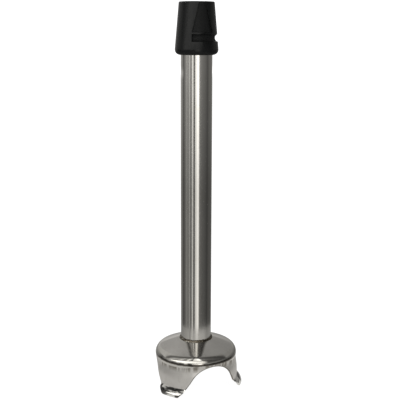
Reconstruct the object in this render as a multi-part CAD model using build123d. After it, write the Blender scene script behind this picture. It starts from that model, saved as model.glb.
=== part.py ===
from build123d import *
import math
import os

# Blending arm of a stick blender: coupling collar, tube, bell guard, and the shaft, bearings and
# blade inside them. Millimetres, +Z up. The origin is on the shaft axis, on the plane that the
# three feet stand on, and one foot is on +X.

# ---- Bell guard -------------------------------------------------------------------------------
BELL_RADIUS = 51.6
RIM_HEIGHT = 41.3
RIM_ARC_RADIUS = 11.0
DOME_EDGE_SLOPE = 22.7
DOME_RISE_CURVE = 262.0
BELL_WALL = 2.2
WAIST_INSET = 0.6
WAIST_DROP = 5.2
SKIRT_FLARE = 1.0
CREASE_FLARE = 1.2
CREASE_HEIGHT = 10.7
TOE_FLARE = 7.3
TOE_TIP_RADIUS = 2.7
TOE_LAND = 1.4
TOE_BULGE = 0.8
FOOT_COUNT = 3
ARCH_RADIUS = 30.0
ARCH_TOP_DROP = 3.0
LEG_ANGLE = 61.5
TOE_SIDE_TOP = 11.5
TOE_SIDE_ANGLE = 41.0
TOE_SIDE_REACH = 43.3
TOE_CORNER_RADIUS = 6.0

# ---- Tube -------------------------------------------------------------------------------------
TUBE_DIAMETER = 38.1
TUBE_WALL = 1.5
TUBE_VISIBLE_LENGTH = 355.2
TUBE_PAST_BELL = 2.0
DIMPLE_BELOW_COLLAR = 20.6
DIMPLE_DEPTH = 0.8
DIMPLE_HEIGHT = 14.0
DIMPLE_ANGLES = (-162.0, 18.0)
WELD_BEAD_RADIUS = 1.5
WELD_BEAD_OFFSET = 0.4

# ---- Coupling collar --------------------------------------------------------------------------
COLLAR_HEIGHT = 61.8
COLLAR_RADIUS = 26.1
COLLAR_CONE_ANGLE = 5.0
COLLAR_BOTTOM_RADIUS = 5.5
COLLAR_CONE_START = 7.0
COLLAR_TOP_CHAMFER = 0.8
COLLAR_SOCKET_RADIUS = 15.0
COLLAR_WEB = 5.0
TUBE_IN_COLLAR = 30.0
POCKET_ANGLE = -67.5
POCKET_TOP_HALF_WIDTH = 3.8
POCKET_BOTTOM_HALF_WIDTH = 12.8
POCKET_FLOOR_HEIGHT = 26.1
POCKET_DEPTH = 1.8
BAYONET_GROOVE_HEIGHT = 19.9
BAYONET_GROOVE_RADIUS = 4.5
BAYONET_GROOVE_DEPTH = 3.25
BAYONET_GROOVE_ARC = 150.0
SEAL_CORD = 2.0
SEAL_HEIGHT_IN_COLLAR = 9.0

# ---- Drive shaft and what is on it ------------------------------------------------------------
SHAFT_DIAMETER = 10.0
THREAD_DIAMETER = 8.0
COUPLING_DIAMETER = 16.0
COUPLING_LENGTH = 22.0
COUPLING_HEX = 10.0
COUPLING_HEX_DEPTH = 10.0
COUPLING_SHAFT_DEPTH = 10.0
COUPLING_GAP = 2.5
CROSS_PIN_DIAMETER = 3.0
SLEEVE_DIAMETER = 14.0

# ---- Blade ------------------------------------------------------------------------------------
BLADE_HEIGHT = 35.7
BLADE_THICKNESS = 2.0
BLADE_HUB_RADIUS = 10.5
WING_BEND_RADIUS = 8.5
LOWER_WING_REACH = 31.0
UPPER_WING_REACH = 27.0
LOWER_WING_DROOP = 5.0
UPPER_WING_RISE = 18.0
WING_ROOT_WIDTH = 13.0
WING_TIP_WIDTH = 8.0
WING_BEVEL_WIDTH = 3.5
BLADE_ANGLE = 20.0
WASHER_THICKNESS = 1.6
WASHER_RADIUS = 8.0
NUT_HEX = 13.0
NUT_HEIGHT = 6.0
NUT_DOME_RADIUS = 5.6
THREAD_INTO_DOME = 1.0

# ---- Ball bearings, the same size at both ends ------------------------------------------------
BEARING_OUTER_DIAMETER = 26.0
BEARING_WIDTH = 8.0
BALL_DIAMETER = 4.762
BALL_COUNT = 7
RACE_CLEARANCE = 0.03
RING_SHOULDER = 1.4
CAGE_THICKNESS = 1.8
CAGE_WIDTH = 6.2
CAGE_POCKET_CLEARANCE = 0.08
CIRCLIP_THICKNESS = 1.2
CIRCLIP_BITE = 0.8
CIRCLIP_REACH = 2.2
CIRCLIP_LAND = 2.4
CIRCLIP_GAP_ANGLE = 36.0

# ---- Carriers, bushes and guides --------------------------------------------------------------
CARRIER_BELOW_DIMPLE = 12.5
CARRIER_SHAFT_GAP = 2.0
BUSH_WALL = 2.0
BUSH_LENGTH = 12.0
BUSH_FLANGE = 1.5
RUNNING_CLEARANCE = 0.05
DIMPLE_CLEARANCE = 0.2
SCREW_DIAMETER = 3.0
SCREW_HEAD_DIAMETER = 5.5
SCREW_HEAD_HEIGHT = 3.0
SCREW_KEY_SIZE = 2.5
SCREW_REACH = 11.0
SCREW_CIRCLE_RADIUS = 12.0
SCREW_COUNT = 3
GUIDE_PLACES = (0.36, 0.68)  # shares of the way from the housing up to the carrier
GUIDE_LENGTH = 16.0
GUIDE_SLEEVE_WALL = 4.5
GUIDE_LOBE_COUNT = 6
GUIDE_LOBE_RADIUS = 2.2

# ---- Lower bearing housing and shaft seal -----------------------------------------------------
HOUSING_IN_TUBE = 34.0
HOUSING_TOP_WALL = 8.0
HOUSING_FLANGE = 4.0
HUB_WALL = 3.2
HUB_LENGTH = 7.0
SEAL_WIDTH = 7.0
SEAL_CASE_WALL = 1.0
SEAL_GAP_TO_CIRCLIP = 3.0
SEAL_LIP_THICKNESS = 1.6
GARTER_RADIUS = 0.7
CAP_PLATE = 2.2
CAP_SPIGOT = 5.0
CAP_SPIGOT_WALL = 2.2
CAP_SHAFT_GAP = 0.6

# ---- Places worked out from the sizes above ---------------------------------------------------
TUBE_RADIUS = TUBE_DIAMETER / 2
TUBE_BORE = TUBE_RADIUS - TUBE_WALL
SHAFT_RADIUS = SHAFT_DIAMETER / 2
THREAD_RADIUS = THREAD_DIAMETER / 2
SLEEVE_RADIUS = SLEEVE_DIAMETER / 2
BEARING_RADIUS = BEARING_OUTER_DIAMETER / 2
HUB_RADIUS = BEARING_RADIUS + HUB_WALL
PITCH_RADIUS = (SHAFT_RADIUS + BEARING_RADIUS) / 2
GUIDE_BUSH_RADIUS = TUBE_BORE - GUIDE_SLEEVE_WALL

RIM_CENTRE_RADIUS = BELL_RADIUS - RIM_ARC_RADIUS
DOME_EDGE_RADIUS = RIM_CENTRE_RADIUS + RIM_ARC_RADIUS * math.sin(math.radians(DOME_EDGE_SLOPE))
DOME_EDGE_HEIGHT = RIM_HEIGHT + RIM_ARC_RADIUS * math.cos(math.radians(DOME_EDGE_SLOPE))
DOME_CENTRE_RADIUS = DOME_EDGE_RADIUS - DOME_RISE_CURVE * math.sin(math.radians(DOME_EDGE_SLOPE))
DOME_CENTRE_HEIGHT = DOME_EDGE_HEIGHT - DOME_RISE_CURVE * math.cos(math.radians(DOME_EDGE_SLOPE))


def dome_height(radius, inset=0.0):
    """Height of the domed top at a radius, or of a surface that far under it."""
    reach = radius - DOME_CENTRE_RADIUS
    return DOME_CENTRE_HEIGHT + math.sqrt((DOME_RISE_CURVE - inset) ** 2 - reach**2)


JUNCTION_HEIGHT = dome_height(TUBE_RADIUS)
TUBE_BOTTOM = dome_height(TUBE_RADIUS, BELL_WALL) - TUBE_PAST_BELL
COLLAR_BOTTOM = JUNCTION_HEIGHT + TUBE_VISIBLE_LENGTH
TUBE_TOP = COLLAR_BOTTOM + TUBE_IN_COLLAR
WEB_TOP = TUBE_TOP + COLLAR_WEB
COLLAR_TOP = COLLAR_BOTTOM + COLLAR_HEIGHT
DIMPLE_CENTRE = COLLAR_BOTTOM - DIMPLE_BELOW_COLLAR

CARRIER_BOTTOM = DIMPLE_CENTRE - CARRIER_BELOW_DIMPLE
UPPER_CIRCLIP_BOTTOM = CARRIER_BOTTOM + CIRCLIP_LAND
UPPER_BEARING_BOTTOM = UPPER_CIRCLIP_BOTTOM + CIRCLIP_THICKNESS
UPPER_BEARING_TOP = UPPER_BEARING_BOTTOM + BEARING_WIDTH

HOUSING_TOP = TUBE_BOTTOM + HOUSING_IN_TUBE
LOWER_BEARING_TOP = HOUSING_TOP - HOUSING_TOP_WALL
LOWER_BEARING_BOTTOM = LOWER_BEARING_TOP - BEARING_WIDTH
LOWER_CIRCLIP_BOTTOM = LOWER_BEARING_BOTTOM - CIRCLIP_THICKNESS
SEAL_TOP = LOWER_CIRCLIP_BOTTOM - SEAL_GAP_TO_CIRCLIP
SEAL_BOTTOM = SEAL_TOP - SEAL_WIDTH
HUB_TOP = TUBE_BOTTOM - HOUSING_FLANGE
HUB_BOTTOM = HUB_TOP - HUB_LENGTH

BLADE_TOP = BLADE_HEIGHT + BLADE_THICKNESS
NUT_TOP = BLADE_HEIGHT - WASHER_THICKNESS
NUT_BOTTOM = NUT_TOP - NUT_HEIGHT
THREAD_END = NUT_BOTTOM - THREAD_INTO_DOME
COUPLING_BOTTOM = WEB_TOP + COUPLING_GAP
COUPLING_TOP = COUPLING_BOTTOM + COUPLING_LENGTH
SHAFT_TOP = COUPLING_BOTTOM + COUPLING_SHAFT_DEPTH
CROSS_PIN_HEIGHT = COUPLING_BOTTOM + COUPLING_SHAFT_DEPTH / 2


def turned(*points):
    """Solid of revolution about Z from a closed (radius, height) outline of straight lines."""
    outline = Polyline(*points, close=True)
    return revolve(Plane.XZ * make_face(outline), Axis.Z)


def ring(inner, outer, bottom, top):
    """Plain ring, or a disc when inner is 0."""
    return turned((inner, bottom), (outer, bottom), (outer, top), (inner, top))


def ring_of_places(count, radius, start=0.0):
    """Places evenly spaced on a circle, each turned to face outwards."""
    step = 360 / count
    return [Rot(0, 0, start + i * step) * Pos(radius, 0, 0) for i in range(count)]


# ---- Bell guard -------------------------------------------------------------------------------
def skirt_points(inset):
    """Skirt from the rim down to the crease above the toe, as (radius, height)."""
    radius = BELL_RADIUS - inset
    waist = RIM_HEIGHT - WAIST_DROP
    middle = (waist + CREASE_HEIGHT) / 2
    return [
        (radius, RIM_HEIGHT),
        (radius - WAIST_INSET, waist),
        (radius + SKIRT_FLARE, middle),
        (radius + CREASE_FLARE, CREASE_HEIGHT),
    ]


def bell_section():
    """Right half of the bell's section: dome, rolled rim, skirt and rolled toe."""
    slope = math.radians(DOME_EDGE_SLOPE)
    bevel = slope + (math.pi / 2 - slope) / 2
    middle_radius = (TUBE_RADIUS + DOME_EDGE_RADIUS) / 2

    def dome_and_rim(inset):
        start = (TUBE_RADIUS, dome_height(TUBE_RADIUS, inset))
        middle = (middle_radius, dome_height(middle_radius, inset))
        arc = RIM_ARC_RADIUS - inset
        edge = (RIM_CENTRE_RADIUS + arc * math.sin(slope), RIM_HEIGHT + arc * math.cos(slope))
        bend = (RIM_CENTRE_RADIUS + arc * math.sin(bevel), RIM_HEIGHT + arc * math.cos(bevel))
        rim = (RIM_CENTRE_RADIUS + arc, RIM_HEIGHT)
        return ThreePointArc(start, middle, edge), ThreePointArc(edge, bend, rim)

    outer_dome, outer_rim = dome_and_rim(0)
    inner_dome, inner_rim = dome_and_rim(BELL_WALL)
    outer_points = skirt_points(0)
    inner_points = skirt_points(BELL_WALL)
    outer_skirt = Spline(*outer_points, tangents=((0, -1), (0, -1)))
    toe_radius = BELL_RADIUS + TOE_FLARE
    tip_centre = (toe_radius - TOE_TIP_RADIUS, TOE_TIP_RADIUS)
    crease = outer_points[-1]
    belly = (
        (crease[0] + toe_radius) / 2 + TOE_BULGE,
        (crease[1] + tip_centre[1]) / 2 + TOE_BULGE,
    )
    toe_side = (toe_radius, tip_centre[1])
    half_land = TOE_LAND / 2
    bend_height = TOE_TIP_RADIUS * (1 - math.sqrt(0.5))
    bend_reach = half_land + (TOE_TIP_RADIUS - half_land) * math.sqrt(0.5)
    tip_bend = (tip_centre[0] + bend_reach, bend_height)
    land_outer = (tip_centre[0] + half_land, 0)
    land_inner = (tip_centre[0] - half_land, 0)
    inner_bend = (tip_centre[0] - bend_reach, bend_height)
    toe_inside = (tip_centre[0] - TOE_TIP_RADIUS, tip_centre[1])
    inner_skirt = Spline(*inner_points, toe_inside, tangents=((0, -1), (0, -1)))
    return make_face(
        [
            *outer_dome.edges(),
            *outer_rim.edges(),
            *outer_skirt.edges(),
            *ThreePointArc(crease, belly, toe_side).edges(),
            *ThreePointArc(toe_side, tip_bend, land_outer).edges(),
            *Line(land_outer, land_inner).edges(),
            *ThreePointArc(land_inner, inner_bend, toe_inside).edges(),
            *inner_skirt.edges(),
            *inner_rim.edges(),
            *inner_dome.edges(),
            *Line(inner_dome @ 0, outer_dome @ 0).edges(),
        ]
    )


def arch_outline():
    """Window between two feet: round top, straight legs, and a sloping side over each toe."""
    top = RIM_HEIGHT - ARCH_TOP_DROP
    leg = math.radians(LEG_ANGLE)
    side = math.radians(TOE_SIDE_ANGLE)
    leg_top = (ARCH_RADIUS * math.sin(leg), top - ARCH_RADIUS * (1 - math.cos(leg)))
    side_top = (leg_top[0] + (leg_top[1] - TOE_SIDE_TOP) / math.tan(leg), TOE_SIDE_TOP)
    corner_x = TOE_SIDE_REACH - TOE_CORNER_RADIUS * (1 - math.sin(side))
    corner = (corner_x, TOE_SIDE_TOP - (corner_x - side_top[0]) * math.tan(side))
    corner_end = (TOE_SIDE_REACH, corner[1] - TOE_CORNER_RADIUS * math.cos(side))
    below = (TOE_SIDE_REACH, -TOE_CORNER_RADIUS)
    right = [
        Line(leg_top, side_top),
        Line(side_top, corner),
        TangentArc(corner, corner_end, tangent=(math.cos(side), -math.sin(side))),
        Line(corner_end, below),
    ]
    left = [mirror(edge, Plane.YZ) for edge in right]
    return make_face(
        [
            *ThreePointArc((-leg_top[0], leg_top[1]), (0, top), leg_top).edges(),
            *[edge for part in right + left for edge in part.edges()],
            *Line((-below[0], below[1]), below).edges(),
        ]
    )


def bell_guard():
    shell = revolve(Plane.XZ * bell_section(), Axis.Z)
    reach = BELL_RADIUS + TOE_FLARE + BELL_WALL
    outward = Plane((0, 0, 0), x_dir=(0, 1, 0), z_dir=(1, 0, 0))
    window = extrude(outward * arch_outline(), reach)
    step = 360 / FOOT_COUNT
    for i in range(FOOT_COUNT):
        shell -= Rot(0, 0, (i + 0.5) * step) * window
    return shell


# ---- Tube -------------------------------------------------------------------------------------
def dimple_tools(inset):
    """Rollers that press the two dimples, their surface that far under the tube's outside."""
    roller = (DIMPLE_HEIGHT / 2) ** 2 / (2 * DIMPLE_DEPTH)
    distance = TUBE_RADIUS - DIMPLE_DEPTH - inset + roller
    lying = Rot(90, 0, 0) * Cylinder(roller, TUBE_DIAMETER)
    tools = Part()
    for angle in DIMPLE_ANGLES:
        tools += Rot(0, 0, angle) * Pos(distance, 0, DIMPLE_CENTRE) * lying
    return tools


def shaft_tube():
    outside = ring(0, TUBE_RADIUS, TUBE_BOTTOM, TUBE_TOP) - dimple_tools(0)
    inside = ring(0, TUBE_BORE, TUBE_BOTTOM, TUBE_TOP) - dimple_tools(TUBE_WALL)
    return outside - inside


def weld_bead(bell):
    """Fillet weld in the corner between the tube and the dome."""
    bead = Pos(0, 0, JUNCTION_HEIGHT) * Torus(TUBE_RADIUS + WELD_BEAD_OFFSET, WELD_BEAD_RADIUS)
    below = ring(0, BELL_RADIUS / 2, TUBE_BOTTOM, dome_height(TUBE_RADIUS, BELL_WALL / 2))
    tube = ring(0, TUBE_RADIUS, TUBE_BOTTOM, TUBE_TOP)
    return bead - tube - below - bell


# ---- Coupling collar --------------------------------------------------------------------------
def collar_radius(height):
    """Radius of the collar's cone at a height above its bottom edge."""
    narrowing = math.tan(math.radians(COLLAR_CONE_ANGLE))
    return COLLAR_RADIUS - (height - COLLAR_CONE_START) * narrowing


def collar_body(inset):
    """Solid of the collar's outside, or of a surface that far under it."""
    top = COLLAR_HEIGHT
    corner = COLLAR_RADIUS - COLLAR_BOTTOM_RADIUS
    diagonal = math.sqrt(0.5)
    bend = (
        corner + COLLAR_BOTTOM_RADIUS * diagonal,
        COLLAR_CONE_START * (1 - diagonal),
    )
    points = [
        (COLLAR_RADIUS - inset, COLLAR_CONE_START),
        (collar_radius(top - COLLAR_TOP_CHAMFER) - inset, top - COLLAR_TOP_CHAMFER),
        (collar_radius(top) - COLLAR_TOP_CHAMFER - inset, top),
        (0, top),
        (0, 0),
        (corner - inset, 0),
    ]
    outline = make_face(
        [
            *Polyline(*points).edges(),
            *ThreePointArc(points[-1], (bend[0] - inset, bend[1]), points[0]).edges(),
        ]
    )
    return revolve(Plane.XZ * outline, Axis.Z)


def bayonet_pocket():
    """Pocket open at the top, wider towards the groove, one step deep into the cone."""
    height = COLLAR_HEIGHT - POCKET_FLOOR_HEIGHT
    widening = (POCKET_BOTTOM_HALF_WIDTH - POCKET_TOP_HALF_WIDTH) / height
    top = COLLAR_HEIGHT + POCKET_DEPTH
    top_half = POCKET_TOP_HALF_WIDTH - widening * POCKET_DEPTH
    outline = Polyline(
        (-POCKET_BOTTOM_HALF_WIDTH, POCKET_FLOOR_HEIGHT),
        (POCKET_BOTTOM_HALF_WIDTH, POCKET_FLOOR_HEIGHT),
        (top_half, top),
        (-top_half, top),
        close=True,
    )
    outward = Plane((0, 0, 0), x_dir=(0, 1, 0), z_dir=(1, 0, 0))
    wedge = extrude(outward * make_face(outline), 2 * COLLAR_RADIUS)
    return Rot(0, 0, POCKET_ANGLE) * wedge - collar_body(POCKET_DEPTH)


def bayonet_groove():
    """Round-bottomed groove that starts at the pocket's edge and runs part of the way round."""
    surface = collar_radius(BAYONET_GROOVE_HEIGHT)
    centre = surface - BAYONET_GROOVE_DEPTH + BAYONET_GROOVE_RADIUS
    section = Pos(centre, BAYONET_GROOVE_HEIGHT) * Circle(BAYONET_GROOVE_RADIUS)
    half_width = POCKET_BOTTOM_HALF_WIDTH / collar_radius(POCKET_FLOOR_HEIGHT)
    start = POCKET_ANGLE - math.degrees(math.asin(half_width))
    groove = revolve(Plane.XZ * section, Axis.Z, BAYONET_GROOVE_ARC)
    return Rot(0, 0, start) * groove


def screw_places(height):
    return [place * Pos(0, 0, height) for place in ring_of_places(SCREW_COUNT, SCREW_CIRCLE_RADIUS)]


def coupling_collar():
    collar = collar_body(0) - bayonet_pocket() - bayonet_groove()
    collar -= ring(0, TUBE_RADIUS, 0, TUBE_IN_COLLAR)
    socket_floor = TUBE_IN_COLLAR + COLLAR_WEB
    collar -= ring(0, COLLAR_SOCKET_RADIUS, socket_floor, COLLAR_HEIGHT)
    collar -= ring(0, SHAFT_RADIUS + CARRIER_SHAFT_GAP, TUBE_IN_COLLAR, socket_floor)
    seal_low = SEAL_HEIGHT_IN_COLLAR - SEAL_CORD / 2
    seal_groove = ring(TUBE_RADIUS, TUBE_RADIUS + SEAL_CORD, seal_low, seal_low + SEAL_CORD)
    collar -= seal_groove
    middle = TUBE_IN_COLLAR + COLLAR_WEB / 2
    for place in screw_places(middle):
        collar -= place * Cylinder(SCREW_DIAMETER / 2, COLLAR_WEB)
    return Pos(0, 0, COLLAR_BOTTOM) * collar


def collar_seal_ring():
    """Round cord seal that fills its groove from the tube to the groove's floor."""
    height = COLLAR_BOTTOM + SEAL_HEIGHT_IN_COLLAR
    return Pos(0, 0, height) * Torus(TUBE_RADIUS + SEAL_CORD / 2, SEAL_CORD / 2)


def collar_screws():
    shank = SCREW_REACH + COLLAR_WEB
    screw = Pos(0, 0, -shank / 2) * Cylinder(SCREW_DIAMETER / 2, shank)
    screw += Pos(0, 0, SCREW_HEAD_HEIGHT / 2) * Cylinder(SCREW_HEAD_DIAMETER / 2, SCREW_HEAD_HEIGHT)
    key = extrude(RegularPolygon(SCREW_KEY_SIZE / 2, 6, major_radius=False), SCREW_HEAD_HEIGHT / 2)
    screw -= Pos(0, 0, SCREW_HEAD_HEIGHT / 2) * key
    return Compound(children=[place * screw for place in screw_places(WEB_TOP)])


# ---- Ball bearing and circlips ----------------------------------------------------------------
def ball_track(middle):
    track = BALL_DIAMETER / 2 + RACE_CLEARANCE
    return Pos(0, 0, middle) * Torus(PITCH_RADIUS, track)


def bearing_outer_ring(bottom):
    inner = PITCH_RADIUS + RING_SHOULDER
    body = ring(inner, BEARING_RADIUS, bottom, bottom + BEARING_WIDTH)
    return body - ball_track(bottom + BEARING_WIDTH / 2)


def bearing_inner_ring(bottom):
    outer = PITCH_RADIUS - RING_SHOULDER
    body = ring(SHAFT_RADIUS, outer, bottom, bottom + BEARING_WIDTH)
    return body - ball_track(bottom + BEARING_WIDTH / 2)


def bearing_cage(bottom):
    half = CAGE_THICKNESS / 2
    low = bottom + (BEARING_WIDTH - CAGE_WIDTH) / 2
    cage = ring(PITCH_RADIUS - half, PITCH_RADIUS + half, low, low + CAGE_WIDTH)
    pocket = Rot(0, 90, 0) * Cylinder(BALL_DIAMETER / 2 + CAGE_POCKET_CLEARANCE, BALL_DIAMETER)
    for place in ring_of_places(BALL_COUNT, PITCH_RADIUS):
        cage -= place * Pos(0, 0, bottom + BEARING_WIDTH / 2) * pocket
    return cage


def bearing_balls(bottom):
    middle = Pos(0, 0, bottom + BEARING_WIDTH / 2)
    ball = Sphere(BALL_DIAMETER / 2)
    places = ring_of_places(BALL_COUNT, PITCH_RADIUS)
    return Compound(children=[place * middle * ball for place in places])


def bore_circlip_groove(bottom):
    return ring(0, BEARING_RADIUS + CIRCLIP_BITE, bottom, bottom + CIRCLIP_THICKNESS)


def bore_circlip(bottom):
    """Open spring ring that sits in a groove in a bearing's bore, under the outer ring."""
    inner = BEARING_RADIUS - CIRCLIP_REACH
    clip = ring(inner, BEARING_RADIUS + CIRCLIP_BITE, bottom, bottom + CIRCLIP_THICKNESS)
    gap_width = 2 * BEARING_RADIUS * math.tan(math.radians(CIRCLIP_GAP_ANGLE / 2))
    gap = Pos(BEARING_RADIUS, 0, bottom + CIRCLIP_THICKNESS / 2)
    return clip - gap * Box(BEARING_RADIUS, gap_width, CIRCLIP_THICKNESS)


# ---- Upper bearing carrier --------------------------------------------------------------------
def upper_bearing_carrier():
    """Turned plug in the top of the tube, held by the dimples and by the collar's screws."""
    plug = ring(0, TUBE_BORE, CARRIER_BOTTOM, TUBE_TOP)
    half = DIMPLE_HEIGHT / 2 + DIMPLE_CLEARANCE
    floor = TUBE_BORE - DIMPLE_DEPTH - DIMPLE_CLEARANCE
    plug -= ring(floor, TUBE_RADIUS, DIMPLE_CENTRE - half, DIMPLE_CENTRE + half)
    plug -= ring(0, BEARING_RADIUS, CARRIER_BOTTOM, UPPER_BEARING_TOP)
    plug -= bore_circlip_groove(UPPER_CIRCLIP_BOTTOM)
    plug -= ring(0, SHAFT_RADIUS + CARRIER_SHAFT_GAP, UPPER_BEARING_TOP, TUBE_TOP)
    plug -= upper_shaft_bush(SHAFT_RADIUS)
    for place in screw_places(TUBE_TOP - SCREW_REACH / 2):
        plug -= place * Cylinder(SCREW_DIAMETER / 2, SCREW_REACH)
    return plug


def upper_shaft_bush(bore):
    """Flanged plain bush in the carrier's top, under the collar's web."""
    outer = SHAFT_RADIUS + CARRIER_SHAFT_GAP
    bush = ring(bore, outer, TUBE_TOP - BUSH_LENGTH, TUBE_TOP)
    return bush + ring(bore, outer + BUSH_WALL, TUBE_TOP - BUSH_FLANGE, TUBE_TOP)


# ---- Guides along the tube --------------------------------------------------------------------
def guide_middle(share):
    return HOUSING_TOP + share * (CARRIER_BOTTOM - HOUSING_TOP)


def guide_bush(share):
    low = guide_middle(share) - GUIDE_LENGTH / 2
    bore = SHAFT_RADIUS + RUNNING_CLEARANCE
    return ring(bore, GUIDE_BUSH_RADIUS, low, low + GUIDE_LENGTH)


def guide_sleeve(share):
    """Rubber sleeve round a guide bush, with lengthwise holes that let it give."""
    low = guide_middle(share) - GUIDE_LENGTH / 2
    sleeve = ring(GUIDE_BUSH_RADIUS, TUBE_BORE, low, low + GUIDE_LENGTH)
    scallop = Pos(0, 0, guide_middle(share)) * Cylinder(GUIDE_LOBE_RADIUS, GUIDE_LENGTH)
    for place in ring_of_places(GUIDE_LOBE_COUNT, TUBE_BORE):
        sleeve -= place * scallop
    return sleeve


# ---- Lower bearing housing and seal -----------------------------------------------------------
def lower_bearing_housing():
    """Turned housing: a plug in the tube's foot, a flange under its end and a hub below."""
    body = turned(
        (0, HOUSING_TOP),
        (TUBE_BORE, HOUSING_TOP),
        (TUBE_BORE, TUBE_BOTTOM),
        (TUBE_RADIUS, TUBE_BOTTOM),
        (TUBE_RADIUS, HUB_TOP),
        (HUB_RADIUS, HUB_TOP),
        (HUB_RADIUS, HUB_BOTTOM),
        (0, HUB_BOTTOM),
    )
    body -= ring(0, BEARING_RADIUS, HUB_BOTTOM, LOWER_BEARING_TOP)
    body -= ring(0, SLEEVE_RADIUS + CARRIER_SHAFT_GAP, LOWER_BEARING_TOP, HOUSING_TOP)
    return body - bore_circlip_groove(LOWER_CIRCLIP_BOTTOM)


def seal_case():
    """Pressed steel case of the lip seal: a band with a flange at the top."""
    inner = BEARING_RADIUS - SEAL_CASE_WALL
    flange = SLEEVE_RADIUS + CARRIER_SHAFT_GAP
    return turned(
        (BEARING_RADIUS, SEAL_BOTTOM),
        (BEARING_RADIUS, SEAL_TOP),
        (flange, SEAL_TOP),
        (flange, SEAL_TOP - SEAL_CASE_WALL),
        (inner, SEAL_TOP - SEAL_CASE_WALL),
        (inner, SEAL_BOTTOM),
    )


def garter_ring():
    centre = SLEEVE_RADIUS + SEAL_LIP_THICKNESS + GARTER_RADIUS
    height = SEAL_BOTTOM + SEAL_WIDTH / 3
    return Pos(0, 0, height) * Torus(centre, GARTER_RADIUS)


def seal_lip():
    """Rubber lip that rides on the shaft sleeve, bonded under the case's flange."""
    case_inner = BEARING_RADIUS - SEAL_CASE_WALL
    flange_under = SEAL_TOP - SEAL_CASE_WALL
    lip = SLEEVE_RADIUS + RUNNING_CLEARANCE
    outer = SLEEVE_RADIUS + SEAL_LIP_THICKNESS
    edge = SEAL_BOTTOM + SEAL_WIDTH / 3
    body = turned(
        (case_inner, flange_under),
        (case_inner, flange_under - SEAL_LIP_THICKNESS),
        (outer + GARTER_RADIUS, flange_under - SEAL_LIP_THICKNESS),
        (outer + GARTER_RADIUS / 2, edge),
        (outer + GARTER_RADIUS / 2, SEAL_BOTTOM),
        (lip + SEAL_LIP_THICKNESS / 2, SEAL_BOTTOM),
        (lip, edge),
        (lip + SEAL_LIP_THICKNESS / 3, flange_under),
    )
    return body - garter_ring()


def seal_cap():
    """Stainless cap pressed into the hub's mouth; it keeps fibres off the seal."""
    spigot_top = HUB_BOTTOM + CAP_SPIGOT
    hole = SLEEVE_RADIUS + CAP_SHAFT_GAP
    spigot_inner = BEARING_RADIUS - CAP_SPIGOT_WALL
    return turned(
        (hole, HUB_BOTTOM - CAP_PLATE),
        (HUB_RADIUS - CAP_PLATE / 2, HUB_BOTTOM - CAP_PLATE),
        (HUB_RADIUS, HUB_BOTTOM - CAP_PLATE / 2),
        (HUB_RADIUS, HUB_BOTTOM),
        (BEARING_RADIUS, HUB_BOTTOM),
        (BEARING_RADIUS, spigot_top),
        (spigot_inner, spigot_top),
        (spigot_inner, HUB_BOTTOM),
        (hole, HUB_BOTTOM),
    )


# ---- Shaft and what turns with it -------------------------------------------------------------
def cross_pin(length):
    pin = Rot(0, 90, 0) * Cylinder(CROSS_PIN_DIAMETER / 2, length)
    return Pos(0, 0, CROSS_PIN_HEIGHT) * pin


def drive_shaft():
    shaft = ring(0, SHAFT_RADIUS, BLADE_TOP, SHAFT_TOP)
    shaft += ring(0, THREAD_RADIUS, THREAD_END, BLADE_TOP)
    shaft -= shaft_circlip_groove()
    return shaft - cross_pin(COUPLING_DIAMETER)


def shaft_circlip_groove():
    low = UPPER_BEARING_TOP
    inner = SHAFT_RADIUS - CIRCLIP_BITE
    return ring(inner, SHAFT_DIAMETER, low, low + CIRCLIP_THICKNESS)


def shaft_circlip():
    """Open spring ring on the shaft, over the upper bearing's inner ring."""
    low = UPPER_BEARING_TOP
    outer = SHAFT_RADIUS + CARRIER_SHAFT_GAP / 2
    clip = ring(SHAFT_RADIUS - CIRCLIP_BITE, outer, low, low + CIRCLIP_THICKNESS)
    gap = Pos(SHAFT_RADIUS, 0, low + CIRCLIP_THICKNESS / 2)
    return clip - gap * Box(SHAFT_RADIUS, SHAFT_RADIUS, CIRCLIP_THICKNESS)


def drive_coupling():
    """Cup that the motor's hexagonal spindle drops into, pinned to the shaft's top."""
    body = ring(0, COUPLING_DIAMETER / 2, COUPLING_BOTTOM, COUPLING_TOP)
    body = chamfer(body.edges().group_by(Axis.Z)[-1], COLLAR_TOP_CHAMFER)
    hexagon = extrude(RegularPolygon(COUPLING_HEX / 2, 6, major_radius=False), COUPLING_HEX_DEPTH)
    body -= Pos(0, 0, COUPLING_TOP - COUPLING_HEX_DEPTH) * hexagon
    body -= ring(0, SHAFT_RADIUS, COUPLING_BOTTOM, SHAFT_TOP)
    return body - cross_pin(COUPLING_DIAMETER)


def coupling_cross_pin():
    edge = COUPLING_DIAMETER / 2
    return cross_pin(COUPLING_DIAMETER) & ring(0, edge, COUPLING_BOTTOM, COUPLING_TOP)


def seal_sleeve():
    """Hardened sleeve between the blade and the lower bearing, for the seal to ride on."""
    return ring(SHAFT_RADIUS, SLEEVE_RADIUS, BLADE_TOP, LOWER_BEARING_BOTTOM)


def wing(reach, tilt):
    """One wing along +X, bent at its root and ground to an edge on its leading side."""
    half_root = WING_ROOT_WIDTH / 2
    length = reach - WING_BEND_RADIUS
    half_tip = WING_TIP_WIDTH / 2
    outline = Polyline(
        (0, -half_root),
        (length - half_tip, -half_tip),
        (length, half_tip / 2),
        (length - half_tip / 2, half_tip),
        (0, half_root),
        close=True,
    )
    plate = extrude(make_face(outline), BLADE_THICKNESS)
    lean = math.degrees(math.atan2(BLADE_THICKNESS, WING_BEVEL_WIDTH))
    turn = math.degrees(math.atan2(half_root - half_tip, length - half_tip))
    grind = Pos(0, -half_root, 0) * Rot(0, 0, turn) * Rot(lean, 0, 0)
    plate -= grind * Pos(0, 0, reach / 2) * Box(4 * reach, 4 * reach, reach)
    return Pos(WING_BEND_RADIUS, 0, 0) * Rot(0, tilt, 0) * plate


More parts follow.
